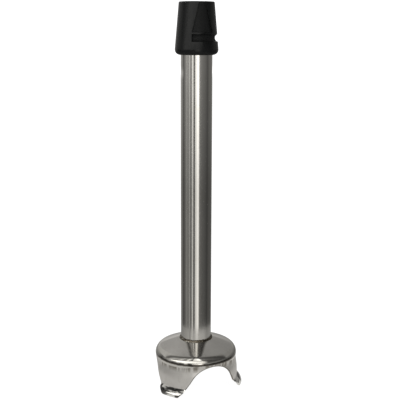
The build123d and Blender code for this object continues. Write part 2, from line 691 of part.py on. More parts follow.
def blade():
    """Cross blade: two long wings that droop a little and two short ones that rise."""
    cross = ring(THREAD_RADIUS, BLADE_HUB_RADIUS, 0, BLADE_THICKNESS)
    for i in range(2):
        cross += Rot(0, 0, 180 * i) * wing(LOWER_WING_REACH, LOWER_WING_DROOP)
        cross += Rot(0, 0, 90 + 180 * i) * wing(UPPER_WING_REACH, -UPPER_WING_RISE)
    return Rot(0, 0, BLADE_ANGLE) * Pos(0, 0, BLADE_HEIGHT) * cross


def blade_washer():
    return ring(THREAD_RADIUS, WASHER_RADIUS, NUT_TOP, BLADE_HEIGHT)


def blade_nut():
    """Domed nut that closes the shaft's threaded end."""
    hexagon = extrude(RegularPolygon(NUT_HEX / 2, 6, major_radius=False), NUT_HEIGHT)
    nut = Pos(0, 0, NUT_BOTTOM) * hexagon
    nut += Pos(0, 0, NUT_BOTTOM) * Sphere(NUT_DOME_RADIUS)
    nut &= ring(0, NUT_HEX, NUT_BOTTOM - NUT_DOME_RADIUS, NUT_TOP)
    return nut - ring(0, THREAD_RADIUS, THREAD_END, NUT_TOP)


# ---- All the pieces ---------------------------------------------------------------------------
def bearing_parts(name, bottom):
    return {
        f"{name}_bearing_outer_ring": bearing_outer_ring(bottom),
        f"{name}_bearing_inner_ring": bearing_inner_ring(bottom),
        f"{name}_bearing_cage": bearing_cage(bottom),
        f"{name}_bearing_balls": bearing_balls(bottom),
    }


def all_parts():
    bell = bell_guard()
    running_bore = SHAFT_RADIUS + RUNNING_CLEARANCE
    parts = {
        "coupling_collar": coupling_collar(),
        "collar_screws": collar_screws(),
        "collar_seal_ring": collar_seal_ring(),
        "shaft_tube": shaft_tube(),
        "bell_guard": bell,
        "tube_weld_bead": weld_bead(bell),
        "upper_bearing_carrier": upper_bearing_carrier(),
        "upper_shaft_bush": upper_shaft_bush(running_bore),
        "upper_bearing_circlip": bore_circlip(UPPER_CIRCLIP_BOTTOM),
        "lower_bearing_housing": lower_bearing_housing(),
        "lower_bearing_circlip": bore_circlip(LOWER_CIRCLIP_BOTTOM),
        "shaft_seal_case": seal_case(),
        "shaft_seal_lip": seal_lip(),
        "shaft_seal_garter_spring": garter_ring(),
        "seal_cap": seal_cap(),
        "drive_shaft": drive_shaft(),
        "drive_coupling": drive_coupling(),
        "coupling_cross_pin": coupling_cross_pin(),
        "upper_shaft_circlip": shaft_circlip(),
        "seal_sleeve": seal_sleeve(),
        "blade": blade(),
        "blade_washer": blade_washer(),
        "blade_nut": blade_nut(),
    }
    parts.update(bearing_parts("upper", UPPER_BEARING_BOTTOM))
    parts.update(bearing_parts("lower", LOWER_BEARING_BOTTOM))
    for name, share in zip(("lower", "upper"), GUIDE_PLACES):
        parts[f"{name}_guide_bush"] = guide_bush(share)
        parts[f"{name}_guide_sleeve"] = guide_sleeve(share)
    return parts


os.makedirs("parts", exist_ok=True)
for node, shape in all_parts().items():
    export_step(shape, f"parts/{node}.step")
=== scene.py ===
import math

import bmesh
import bpy
from mathutils import Matrix, Vector, noise


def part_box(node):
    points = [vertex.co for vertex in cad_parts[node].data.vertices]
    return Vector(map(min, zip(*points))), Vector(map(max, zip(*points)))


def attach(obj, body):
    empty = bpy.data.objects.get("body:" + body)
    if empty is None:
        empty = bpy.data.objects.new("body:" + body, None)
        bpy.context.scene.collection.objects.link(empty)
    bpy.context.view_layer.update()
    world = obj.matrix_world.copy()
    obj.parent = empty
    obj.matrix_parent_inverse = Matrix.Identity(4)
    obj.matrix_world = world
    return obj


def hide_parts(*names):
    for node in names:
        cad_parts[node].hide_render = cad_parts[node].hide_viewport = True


# Looks of a stick blender's blending arm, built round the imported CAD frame. The arm's shapes are
# worked out in millimetres and written in metres, and the studio is in metres. The frame's origin
# is on the shaft axis, where the feet stand.

MM = 0.001

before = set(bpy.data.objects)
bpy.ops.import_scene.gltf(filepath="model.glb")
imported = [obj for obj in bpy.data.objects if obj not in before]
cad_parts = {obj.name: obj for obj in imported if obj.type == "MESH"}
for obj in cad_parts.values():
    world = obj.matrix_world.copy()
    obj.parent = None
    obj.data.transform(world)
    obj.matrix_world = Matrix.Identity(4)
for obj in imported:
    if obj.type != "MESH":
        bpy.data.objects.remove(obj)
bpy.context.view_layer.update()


def box_mm(node):
    """Lowest and highest corner of a CAD node, in millimetres."""
    return [[value / MM for value in corner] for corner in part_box(node)]


# ---- Sizes ------------------------------------------------------------------------------------
TUBE_LOW, TUBE_HIGH = box_mm("shaft_tube")
TUBE_RADIUS = TUBE_HIGH[0]
TUBE_BORE = box_mm("upper_bearing_carrier")[1][0]
COLLAR_LOW, COLLAR_HIGH = box_mm("coupling_collar")
JUNCTION = box_mm("bell_guard")[1][2]

# Bell guard
BELL_RADIUS = 51.58
RIM_HEIGHT = 41.3
RIM_ARC = 11.0
DOME_SLOPE = math.radians(22.7)
DOME_CURVE = 262.0
WALL = 2.2
CREASE_HEIGHT = 10.7
CREASE_RADIUS = 52.8
TOE_RADIUS = 58.9
TOE_TIP = 2.7
TOE_BULGE = 0.8
LAND_RADIUS = 56.2
LAND_HALF = 0.7
ARCH_RADIUS = 30.0
ARCH_TOP = 38.3
LEG_ANGLE = math.radians(61.5)
TOE_SIDE_TOP = 11.5
TOE_SIDE_ANGLE = math.radians(41)
TOE_SIDE_REACH = 43.3
TOE_CURVE = 6.0
TOE_CORNER = 1.2
WAIST_RADIUS = 51.05
WAIST_HEIGHT = 36.1
FLARE_RADIUS = 52.6
FLARE_HEIGHT = 23.4
FOOT_COUNT = 3
FOOT_STEP = 360 / FOOT_COUNT

# Rounded edge of the windows and toes: how far it rounds, how full, how far its cut leans inwards
EDGE_ROUND = 0.8
EDGE_POWER = 2.6
EDGE_SKEW = 0.5

# Radius of the collar's cone at its bottom and top
CONE_LOW = 26.7
CONE_HIGH = 21.3

# Dimples that hold the upper bearing's carrier
DIMPLE_HEIGHT = COLLAR_LOW[2] - 20.6
DIMPLE_DEPTH = 0.9
DIMPLE_HALF_HEIGHT = 9.0
DIMPLE_HALF_ANGLE = math.radians(26)
DIMPLE_ANGLES = (-162, 18)


# ---- Mesh helpers -----------------------------------------------------------------------------
def add_object(name, data):
    made = bpy.data.objects.new(name, data)
    bpy.context.scene.collection.objects.link(made)
    return made


def mesh_object(name, points, faces, materials, face_materials=None, sharp=30):
    """A smooth-shaded object from points in millimetres."""
    mesh = bpy.data.meshes.new(name)
    mesh.from_pydata([tuple(value * MM for value in point) for point in points], [], faces)
    mesh.validate()
    for material in materials:
        mesh.materials.append(material)
    if face_materials:
        mesh.polygons.foreach_set("material_index", face_materials)
    mesh.shade_smooth()
    mesh.set_sharp_from_angle(angle=math.radians(sharp))
    return add_object(name, mesh)


def loop_faces(rows, columns):
    """Faces of a grid that closes on itself both ways, a ring with a closed section."""
    faces = []
    for row in range(rows):
        below = (row + 1) % rows
        for column in range(columns):
            right = (column + 1) % columns
            faces.append(
                (
                    row * columns + column,
                    below * columns + column,
                    below * columns + right,
                    row * columns + right,
                )
            )
    return faces


def ring_point(angle, radius, height):
    """Point at an angle round the shaft's axis."""
    return (radius * math.cos(angle), radius * math.sin(angle), height)


def stand_for(piece, node, body):
    """The piece takes the place of a CAD node on its body."""
    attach(piece, body)
    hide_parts(node)


def blend(low, high, share):
    return low + (high - low) * share


def smooth_step(low, high, value):
    share = min(1.0, max(0.0, (value - low) / (high - low)))
    return share * share * (3 - 2 * share)


def hermite(knots, height):
    """Radius at a height on a smooth curve through (radius, height, slope) knots, top first."""
    for upper, lower in zip(knots, knots[1:]):
        if height >= lower[1]:
            break
    span = upper[1] - lower[1]
    t = (upper[1] - height) / span
    h00 = (1 + 2 * t) * (1 - t) ** 2
    h10 = t * (1 - t) ** 2
    h01 = t * t * (3 - 2 * t)
    h11 = t * t * (t - 1)
    return h00 * upper[0] + h10 * span * upper[2] + h01 * lower[0] + h11 * span * lower[2]


# ---- Materials --------------------------------------------------------------------------------
# Most of a noise's values lie between these two
NOISE_LOW = 0.3
NOISE_HIGH = 0.7


class Finish:
    """A Principled material, with short ways to add the nodes that give it detail."""

    def __init__(self, name, **constants):
        self.material = bpy.data.materials.new(name)
        self.material.use_nodes = True
        self.tree = self.material.node_tree
        self.shader = self.tree.nodes["Principled BSDF"]
        for socket, value in constants.items():
            self.shader.inputs[socket.replace("_", " ")].default_value = value
        self.normal = None

    def add(self, kind, inputs=None, **settings):
        node = self.tree.nodes.new(kind)
        for key, value in settings.items():
            setattr(node, key, value)
        for socket, source in (inputs or {}).items():
            if isinstance(source, bpy.types.NodeSocket):
                self.tree.links.new(source, node.inputs[socket])
            else:
                node.inputs[socket].default_value = source
        return node

    def math(self, operation, *values):
        return self.add("ShaderNodeMath", dict(enumerate(values)), operation=operation).outputs[0]

    def place(self):
        return self.add("ShaderNodeTexCoord").outputs["Object"]

    def stretched(self, sizes):
        """Object coordinates in cells of these sizes in millimetres."""
        scale = [1 / (size * MM) for size in sizes]
        inputs = {"Vector": self.place(), "Scale": scale}
        return self.add("ShaderNodeMapping", inputs).outputs[0]

    def height(self):
        return self.add("ShaderNodeSeparateXYZ", {"Vector": self.place()}).outputs["Z"]

    def length(self, vector):
        return self.add("ShaderNodeVectorMath", {0: vector}, operation="LENGTH").outputs["Value"]

    def round_axis(self):
        """X, Y, Z and the radius from the shaft's axis."""
        x, y, z = self.add("ShaderNodeSeparateXYZ", {"Vector": self.place()}).outputs
        flat = self.add("ShaderNodeCombineXYZ", {"X": x, "Y": y}).outputs[0]
        return x, y, z, self.length(flat)

    def turned(self, radius, around, along, shift=0.0):
        """Coordinates on a turned surface, in cells this long around the axis and along the
        outline, in millimetres. They have no seam."""
        x, y, z, length = self.round_axis()
        safe = self.math("MAXIMUM", length, MM)
        turn = radius / around
        across = self.math("DIVIDE", self.math("MULTIPLY", x, turn), safe)
        beside = self.math("DIVIDE", self.math("MULTIPLY", y, turn), safe)
        drop = self.math("MULTIPLY", self.math("SUBTRACT", z, length), 1 / (along * MM))
        shifted = self.math("ADD", drop, shift)
        joined = self.add("ShaderNodeCombineXYZ", {"X": across, "Y": beside, "Z": shifted})
        return joined.outputs[0]

    def noise(self, vector, scale=1.0, detail=2.0, roughness=0.5, distortion=0.0):
        inputs = {
            "Vector": vector,
            "Scale": scale,
            "Detail": detail,
            "Roughness": roughness,
            "Distortion": distortion,
        }
        return self.add("ShaderNodeTexNoise", inputs).outputs["Fac"]

    def spread(self, value, low, high, out_low, out_high):
        inputs = {
            "Value": value,
            "From Min": low,
            "From Max": high,
            "To Min": out_low,
            "To Max": out_high,
        }
        return self.add("ShaderNodeMapRange", inputs).outputs["Result"]

    def vary(self, noise_value, low, high):
        """Value that drifts from low to high with a noise."""
        return self.spread(noise_value, NOISE_LOW, NOISE_HIGH, low, high)

    def tones(self, noise_value, low, high):
        """Colour that drifts from low to high with a noise."""
        return self.ramp(noise_value, (NOISE_LOW, low), (NOISE_HIGH, high))

    def ramp(self, value, *stops):
        """Colour ramp from (place, colour) stops."""
        node = self.add("ShaderNodeValToRGB", {"Fac": value})
        elements = node.color_ramp.elements
        while len(elements) < len(stops):
            elements.new(0.5)
        for element, (place, colour) in zip(elements, stops):
            element.position = place
            element.color = (*colour, 1)
        return node.outputs["Color"]

    def mix(self, factor, first, second, blend_type="MIX"):
        node = self.add("ShaderNodeMix", data_type="RGBA", blend_type=blend_type)
        for index, source in ((0, factor), (6, first), (7, second)):
            if isinstance(source, bpy.types.NodeSocket):
                self.tree.links.new(source, node.inputs[index])
            elif index:
                node.inputs[index].default_value = (*source, 1)
            else:
                node.inputs[index].default_value = source
        return node.outputs[2]

    def colour(self, source):
        self.tree.links.new(source, self.shader.inputs["Base Color"])

    def roughness(self, source):
        self.tree.links.new(source, self.shader.inputs["Roughness"])

    def bump(self, height, depth, strength=1.0):
        """Adds a layer of relief, its depth in millimetres."""
        inputs = {"Height": height, "Distance": depth * MM, "Strength": strength}
        if self.normal:
            inputs["Normal"] = self.normal
        self.normal = self.add("ShaderNodeBump", inputs).outputs["Normal"]
        self.tree.links.new(self.normal, self.shader.inputs["Normal"])

    def wear(self, low, high):
        """Share of edge wear, from the sharpness of the mesh."""
        sharpness = self.add("ShaderNodeNewGeometry").outputs["Pointiness"]
        return self.spread(sharpness, low, high, 0, 1)


def tube_steel():
    """Stainless tube, belt-polished round and round, with faint stains and rubbed patches."""
    f = Finish("tube_steel", Metallic=1.0)
    grain = f.noise(f.turned(TUBE_RADIUS, 9, 0.14), detail=3, roughness=0.6)
    streak = f.noise(f.turned(TUBE_RADIUS, 0.7, 70), detail=3)
    cloud = f.noise(f.turned(TUBE_RADIUS, 26, 55), detail=4)
    stain = f.noise(f.turned(TUBE_RADIUS, 7, 12, 3.0), detail=5, distortion=0.6)
    tone = f.tones(cloud, (0.60, 0.585, 0.555), (0.66, 0.65, 0.625))
    stained = f.mix(f.spread(stain, 0.62, 0.8, 0, 0.35), tone, (0.42, 0.385, 0.34))
    f.colour(stained)
    dull = f.math("ADD", f.vary(grain, 0.08, 0.13), f.vary(cloud, 0, 0.04))
    f.roughness(f.math("ADD", dull, f.spread(stain, 0.62, 0.8, 0, 0.06)))
    f.bump(cloud, 0.02)
    f.bump(streak, 0.002)
    f.bump(grain, 0.0012)
    return f.material


def bell_satin():
    """Satin skirt: fine rings from the lathe, faint water marks, and painted shade in streaks just
    under the rim.
    """
    f = Finish("bell_satin", Metallic=1.0)
    rings = f.noise(f.turned(BELL_RADIUS, 22, 0.18), detail=3, roughness=0.6)
    cloud = f.noise(f.stretched((16, 16, 16)), detail=4)
    marks = f.noise(f.turned(BELL_RADIUS, 4, 8), detail=4, distortion=0.8)
    # Streaky noise that breaks up the painted shade under the rim
    shade_breakup = f.noise(f.turned(BELL_RADIUS, 4.5, 40, 7.0), detail=3, distortion=0.5)
    _, _, height, radius = f.round_axis()
    outside = f.spread(radius, (BELL_RADIUS - 2) * MM, (BELL_RADIUS - 1.3) * MM, 0, 1)
    # Mask of the band just under the rim where shade is painted into the colour
    waist = f.spread(height, (RIM_HEIGHT - 9.5) * MM, (RIM_HEIGHT - 4.5) * MM, 0, 1)
    under_rim = f.math("MULTIPLY", waist, outside)
    tone = f.tones(cloud, (0.635, 0.62, 0.595), (0.70, 0.685, 0.66))
    marked = f.mix(f.spread(marks, 0.6, 0.8, 0, 0.4), tone, (0.46, 0.44, 0.40))
    # Painted shade: the colour is darkened in a band just under the rim, broken into streaks
    painted_shade_under_rim = f.math("MULTIPLY", under_rim, f.spread(shade_breakup, 0.44, 0.58, 0.05, 0.95))
    f.colour(f.mix(painted_shade_under_rim, marked, (0.26, 0.24, 0.21)))
    f.roughness(f.math("ADD", f.vary(rings, 0.32, 0.4), f.spread(marks, 0.6, 0.8, 0, 0.08)))
    f.bump(cloud, 0.05)
    f.bump(rings, 0.002)
    return f.material


def bell_edge_painted_shade():
    """Cut edge of the windows, with painted shade: its colour is kept low."""
    f = Finish("bell_edge_painted_shade", Metallic=1.0)
    cloud = f.noise(f.stretched((30, 30, 30)), detail=3)
    # Painted shade: the edge's colour is kept low
    f.colour(f.tones(cloud, (0.15, 0.14, 0.12), (0.26, 0.24, 0.21)))
    f.roughness(f.vary(cloud, 0.25, 0.35))
    return f.material


def bell_dome():
    """Buffed dome, nearly a mirror, with soft unevenness and a few dull marks."""
    f = Finish("bell_dome", Metallic=1.0)
    rings = f.noise(f.turned(BELL_RADIUS, 22, 0.18), detail=3, roughness=0.6)
    cloud = f.noise(f.stretched((16, 16, 16)), detail=4)
    marks = f.noise(f.turned(BELL_RADIUS, 5, 6), detail=5, distortion=0.8)
    tone = f.tones(cloud, (0.60, 0.585, 0.56), (0.67, 0.655, 0.63))
    f.colour(f.mix(f.spread(marks, 0.58, 0.8, 0, 0.4), tone, (0.42, 0.40, 0.37)))
    f.roughness(f.math("ADD", f.vary(rings, 0.09, 0.14), f.spread(marks, 0.58, 0.8, 0, 0.1)))
    f.bump(cloud, 0.03)
    f.bump(rings, 0.001)
    return f.material


def rim_polish_painted_band():
    """Mirror-polished stainless with hairline scratches and slight unevenness, and a band of
    painted shade round the lower part of the rim."""
    f = Finish("bell_rim_painted_shade", Metallic=1.0)
    wave = f.noise(f.stretched((5, 5, 5)), detail=2)
    hairline = f.noise(f.turned(BELL_RADIUS, 6, 0.1), detail=2)
    ragged = f.math("ADD", f.height(), f.vary(wave, -0.4 * MM, 0.4 * MM))
    share = f.spread(ragged, (RIM_HEIGHT - 4) * MM, (RIM_HEIGHT + 6) * MM, 0, 1)
    # Painted shade: a band round the lower part of the rim, its colour darkened, with ragged edges
    clean, painted_shade_tone = (1, 1, 1), (0.16, 0.15, 0.14)
    line = f.ramp(share, (0.30, clean), (0.38, painted_shade_tone), (0.60, painted_shade_tone), (0.68, clean))
    tone = f.tones(wave, (0.66, 0.64, 0.60), (0.72, 0.71, 0.68))
    f.colour(f.mix(1.0, tone, line, "MULTIPLY"))
    f.roughness(f.spread(hairline, 0.35, 0.75, 0.06, 0.14))
    f.bump(wave, 0.06)
    f.bump(hairline, 0.0006)
    return f.material


def toe_polish_painted_reflections():
    """Polished toe strip over uneven metal, with painted reflections: near-white and near-black
    patches.
    """
    f = Finish("toe_polish_painted_reflections", Metallic=1.0)
    patch = f.noise(f.turned(BELL_RADIUS, 15, 11, 2.6), detail=3, distortion=0.7)
    hairline = f.noise(f.turned(BELL_RADIUS, 6, 0.1), detail=2)
    # Painted reflections: near-white glints and near-black patches in the toe's colour
    bright = ((0.47, (0.92, 0.91, 0.88)), (0.50, (0.75, 0.74, 0.71)))
    black = ((0.53, (0.08, 0.08, 0.08)), (0.66, (0.2, 0.19, 0.18)))
    f.colour(f.ramp(patch, *bright, *black))
    f.roughness(f.spread(hairline, 0.35, 0.75, 0.07, 0.15))
    f.bump(patch, 0.25)
    f.bump(hairline, 0.0006)
    return f.material


def weld_steel():
    """Fillet weld, brushed clean, with heat tint left in its corners."""
    f = Finish("weld_steel", Metallic=1.0)
    ripple = f.noise(f.turned(TUBE_RADIUS, 1.4, 1.8), detail=3)
    patch = f.noise(f.turned(TUBE_RADIUS, 7, 3), detail=3)
    straw, brown, clean = (0.20, 0.18, 0.15), (0.13, 0.11, 0.08), (0.42, 0.40, 0.36)
    f.colour(f.ramp(patch, (NOISE_LOW, straw), (0.5, brown), (NOISE_HIGH, clean)))
    f.roughness(f.vary(ripple, 0.16, 0.34))
    f.bump(ripple, 0.25)
    return f.material


def collar_plastic():
    """Black glass-filled nylon: fine moulded grain, duller in the pocket and the groove, with
    edges rubbed a little lighter."""
    f = Finish("moulded_black", Specular_IOR_Level=0.24, IOR=1.5)
    _, _, height, radius = f.round_axis()
    cone = f.spread(height, COLLAR_LOW[2] * MM, COLLAR_HIGH[2] * MM, CONE_LOW * MM, CONE_HIGH * MM)
    recess = f.spread(f.math("SUBTRACT", cone, radius), 0.4 * MM, 1.4 * MM, 0, 1)
    grain = f.noise(f.stretched((0.22, 0.22, 0.22)), detail=3, roughness=0.6)
    cloud = f.noise(f.stretched((9, 9, 14)), detail=4)
    scuff = f.noise(f.stretched((0.5, 0.5, 6)), detail=4, distortion=0.4)
    tone = f.tones(cloud, (0.0030, 0.0034, 0.0034), (0.0042, 0.0046, 0.0046))
    rubbed = f.math("MULTIPLY", f.wear(0.53, 0.62), f.spread(scuff, 0.4, 0.7, 0.2, 1))
    f.colour(f.mix(rubbed, tone, (0.04, 0.04, 0.041)))
    skin_dull = f.math("ADD", f.vary(cloud, 0.24, 0.30), f.spread(scuff, 0.55, 0.75, 0, 0.06))
    f.roughness(f.math("ADD", skin_dull, f.math("MULTIPLY", recess, 0.35)))
    f.bump(grain, 0.02, 0.6)
    f.bump(cloud, 0.05)
    return f.material


# Usual radius of the turned pieces inside the arm
INNER_PIECE_RADIUS = 12


def turned_metal(name, low, high, roughness, groove=0.16):
    """Turned metal with fine tool marks, this far apart in millimetres."""
    f = Finish(name, Metallic=1.0)
    marks = f.noise(f.turned(INNER_PIECE_RADIUS, 8, groove), detail=2)
    cloud = f.noise(f.stretched((7, 7, 7)), detail=3)
    f.colour(f.tones(cloud, low, high))
    tooled = f.vary(marks, roughness, roughness + 0.1)
    f.roughness(f.math("ADD", tooled, f.vary(cloud, 0, 0.05)))
    f.bump(marks, 0.003)
    return f.material


def ground_steel(name, low, high, roughness):
    """Ground and hardened steel with straight grinding lines and worn edges."""
    f = Finish(name, Metallic=1.0)
    lines = f.noise(f.stretched((0.15, 5, 0.4)), detail=3)
    cloud = f.noise(f.stretched((6, 6, 6)), detail=4)
    tone = f.tones(cloud, low, high)
    f.colour(f.mix(f.wear(0.52, 0.6), tone, (0.75, 0.74, 0.72)))
    f.roughness(f.vary(lines, roughness, roughness + 0.12))
    f.bump(lines, 0.004)
    return f.material


def soft_plastic(name, low, high, roughness, grain_size, grain_depth):
    """Moulded rubber or plastic with a fine grain."""
    f = Finish(name)
    grain = f.noise(f.stretched((grain_size,) * 3), detail=3)
    cloud = f.noise(f.stretched((5, 5, 5)), detail=3)
    f.colour(f.tones(cloud, low, high))
    grained = f.vary(grain, roughness, roughness + 0.1)
    f.roughness(f.math("ADD", grained, f.vary(cloud, 0, 0.06)))
    f.bump(grain, grain_depth)
    return f.material


SHAFT_STEEL = (0.50, 0.50, 0.51), (0.58, 0.58, 0.59)
BEARING_STEEL = (0.55, 0.55, 0.56), (0.66, 0.66, 0.67)
STAINLESS = (0.56, 0.55, 0.53), (0.64, 0.63, 0.61)
BLADE_STEEL = (0.50, 0.50, 0.50), (0.60, 0.60, 0.60)
BLACK_OXIDE = (0.035, 0.036, 0.04), (0.07, 0.07, 0.075)
ALUMINIUM = (0.76, 0.77, 0.78), (0.84, 0.85, 0.86)
BRONZE = (0.62, 0.38, 0.17), (0.75, 0.48, 0.22)
NYLON = (0.62, 0.60, 0.54), (0.72, 0.70, 0.64)
RUBBER = (0.012, 0.012, 0.012), (0.03, 0.03, 0.03)
BLACK_PLASTIC = (0.02, 0.02, 0.021), (0.05, 0.05, 0.052)

# A finish for each material slot of the CAD nodes
MATERIALS = {
    "tube_stainless": tube_steel(),
    "bell_stainless": bell_satin(),
    "weld": weld_steel(),
    "collar_plastic": collar_plastic(),
    "machined_stainless": turned_metal("turned_stainless", *STAINLESS, 0.18),
    "hardened_steel": turned_metal("ground_shaft_steel", *SHAFT_STEEL, 0.12, 0.1),
    "bearing_steel": turned_metal("lapped_bearing_steel", *BEARING_STEEL, 0.06, 0.1),
    "blade_steel": ground_steel("ground_blade_steel", *BLADE_STEEL, 0.14),
    "aluminium": turned_metal("turned_aluminium", *ALUMINIUM, 0.24),
    "bronze": turned_metal("turned_bronze", *BRONZE, 0.24),
    "nylon": soft_plastic("milky_nylon", *NYLON, 0.42, 0.3, 0.01),
    "black_rubber": soft_plastic("matt_rubber", *RUBBER, 0.6, 0.2, 0.03),
    "drive_plastic": soft_plastic("coupling_plastic", *BLACK_PLASTIC, 0.4, 0.3, 0.02),
    "black_oxide_steel": ground_steel("black_oxide", *BLACK_OXIDE, 0.3),
}
BELL_LOOKS = [MATERIALS["bell_stainless"], bell_dome(), rim_polish_painted_band(), toe_polish_painted_reflections(), bell_edge_painted_shade()]
SATIN, DOME, RIM, TOE, EDGE = range(len(BELL_LOOKS))

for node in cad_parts.values():
    for holder in node.material_slots:
        holder.material = MATERIALS[holder.material.name]


# ---- Bell guard -------------------------------------------------------------------------------
RIM_CENTRE = BELL_RADIUS - RIM_ARC
DOME_EDGE = RIM_CENTRE + RIM_ARC * math.sin(DOME_SLOPE)
DOME_CENTRE_RADIUS = DOME_EDGE - DOME_CURVE * math.sin(DOME_SLOPE)
DOME_CENTRE_HEIGHT = RIM_HEIGHT + (RIM_ARC - DOME_CURVE) * math.cos(DOME_SLOPE)
TOP_ROWS = 14
RIM_ROWS = 14
SKIRT_ROWS = 18
LOWER_ROWS = 12
EDGE_ROWS = 9
TOE_COLUMNS = 6
CORNER_COLUMNS = 4
CURVE_COLUMNS = 4
SIDE_COLUMNS = 6
LEG_COLUMNS = 6
ARCH_COLUMNS = 20

# Skirt's outline from the rim down, as (radius, height, outward slope)
OUTER_SKIRT = (
    (BELL_RADIUS, RIM_HEIGHT, 0.0),
    (WAIST_RADIUS, WAIST_HEIGHT, 0.0),
    (FLARE_RADIUS, FLARE_HEIGHT, 0.07),
    (CREASE_RADIUS, CREASE_HEIGHT, 0.0),
)
INNER_SKIRT = (
    (BELL_RADIUS - WALL, RIM_HEIGHT, 0.0),
    (WAIST_RADIUS - WALL, WAIST_HEIGHT, 0.0),
    (FLARE_RADIUS - WALL, FLARE_HEIGHT, 0.07),
    (CREASE_RADIUS - WALL, CREASE_HEIGHT, 0.08),
    (LAND_RADIUS - TOE_TIP, TOE_TIP, 0.1),
)

# Heights of a window's or toe's edge between which the rows drift up from the crease
LOW_EDGE = 9
HIGH_EDGE = 39


def dome_height(radius, inset):
    """Height of the dome at a radius, or of a surface that far under it."""
    off = radius - DOME_CENTRE_RADIUS
    return DOME_CENTRE_HEIGHT + math.sqrt((DOME_CURVE - inset) ** 2 - off**2)


def belly_circle():
    """Centre and radius of the arc from the crease to the side of the toe."""
    side = (TOE_RADIUS, TOE_TIP)
    crease = (CREASE_RADIUS, CREASE_HEIGHT)
    middle = ((side[0] + crease[0]) / 2, (side[1] + crease[1]) / 2)
    chord = math.dist(side, crease)
    out = ((crease[1] - side[1]) / chord, (side[0] - crease[0]) / chord)
    bulge = TOE_BULGE * (out[0] + out[1])
    radius = (chord**2 / 4 + bulge**2) / (2 * bulge)
    return (middle[0] - (radius - bulge) * out[0], middle[1] - (radius - bulge) * out[1]), radius


BELLY_CENTRE, BELLY_RADIUS = belly_circle()


def outer_radius(height):
    """Radius of the skirt's and toe's outside."""
    if height >= CREASE_HEIGHT:
        return hermite(OUTER_SKIRT, height)
    if height >= TOE_TIP:
        return BELLY_CENTRE[0] + math.sqrt(BELLY_RADIUS**2 - (height - BELLY_CENTRE[1]) ** 2)
    land = LAND_RADIUS + LAND_HALF
    return land + (TOE_RADIUS - land) * math.sqrt(1 - (1 - height / TOE_TIP) ** 2)


def inner_radius(height):
    """Radius of the skirt's and toe's inside."""
    if height >= TOE_TIP:
        return hermite(INNER_SKIRT, height)
    land = LAND_RADIUS - LAND_HALF
    inside = LAND_RADIUS - TOE_TIP
    return land - (land - inside) * math.sqrt(1 - (1 - height / TOE_TIP) ** 2)


def window_columns():
    """Columns across half a foot, from the middle of its toe to the top of the window beside it:
    share of the toe's half width, place on the window's outline, and the way into the metal."""
    leg_way = (math.sin(LEG_ANGLE), math.cos(LEG_ANGLE))
    side_way = (math.sin(TOE_SIDE_ANGLE), math.cos(TOE_SIDE_ANGLE))
    centre = ARCH_TOP - ARCH_RADIUS
    leg_top = (ARCH_RADIUS * leg_way[0], centre + ARCH_RADIUS * leg_way[1])
    side_top = (leg_top[0] + (leg_top[1] - TOE_SIDE_TOP) * leg_way[1] / leg_way[0], TOE_SIDE_TOP)
    curve_x = TOE_SIDE_REACH - TOE_CURVE
    side_low_x = curve_x + TOE_CURVE * side_way[0]
    side_low = (side_low_x, TOE_SIDE_TOP - (side_low_x - side_top[0]) * side_way[0] / side_way[1])
    curve_z = side_low[1] - TOE_CURVE * side_way[1]
    corner_lean = math.asin((TOE_CORNER - curve_z) / (TOE_CURVE + TOE_CORNER))
    toe = curve_x + (TOE_CURVE + TOE_CORNER) * math.cos(corner_lean)
    columns = [(i / TOE_COLUMNS, (toe, 0.0), (0.0, 1.0)) for i in range(TOE_COLUMNS)]

    def arc(middle, radius, start, end, count, inward):
        for i in range(count):
            angle = blend(start, end, i / count)
            way = (math.cos(angle), math.sin(angle))
            place = (middle[0] + radius * way[0], middle[1] + radius * way[1])
            columns.append((1.0, place, (way[0] * inward, way[1] * inward)))

    def line(low, high, way, count):
        for i in range(count):
            place = (blend(low[0], high[0], i / count), blend(low[1], high[1], i / count))
            columns.append((1.0, place, way))

    up = math.pi / 2
    arc((toe, TOE_CORNER), TOE_CORNER, -up, corner_lean - math.pi, CORNER_COLUMNS, -1)
    arc((curve_x, curve_z), TOE_CURVE, corner_lean, up - TOE_SIDE_ANGLE, CURVE_COLUMNS, 1)
    line(side_low, side_top, side_way, SIDE_COLUMNS)
    line(side_top, leg_top, leg_way, LEG_COLUMNS)
    arc((0, centre), ARCH_RADIUS, up - LEG_ANGLE, up, ARCH_COLUMNS, 1)
    columns.append((1.0, (0.0, ARCH_TOP), (0.0, 1.0)))
    return columns


def edge_point(column, across_wall):
    """Angle from the foot's middle, radius and height on the rounded edge of a window or toe."""
    toe_share, place, way = column
    side = abs(2 * across_wall - 1)
    back = EDGE_ROUND * (1 - (1 - side**EDGE_POWER) ** (1 / EDGE_POWER))
    across = place[0] + back * way[0]
    height = place[1] + back * way[1]
    outer, inner = outer_radius(height), inner_radius(height)
    cut_radius = blend(outer, inner, across_wall * EDGE_SKEW)
    angle = math.radians(FOOT_STEP / 2) - math.asin(across / cut_radius)
    return angle * toe_share, blend(outer, inner, across_wall), height


def skirt_heights(end):
    """Heights of the rows from under the rim to the window's edge, with one on the crease."""
    over_crease = (CREASE_HEIGHT - LOW_EDGE) / (RIM_HEIGHT - LOW_EDGE)
    share = blend(over_crease, 0.45, smooth_step(LOW_EDGE, HIGH_EDGE, end))
    middle = CREASE_HEIGHT if end < LOW_EDGE else end + share * (RIM_HEIGHT - end)
    upper = [blend(RIM_HEIGHT, middle, i / SKIRT_ROWS) for i in range(1, SKIRT_ROWS + 1)]
    lower = [blend(middle, end, i / LOWER_ROWS) for i in range(1, LOWER_ROWS)]
    return upper + lower


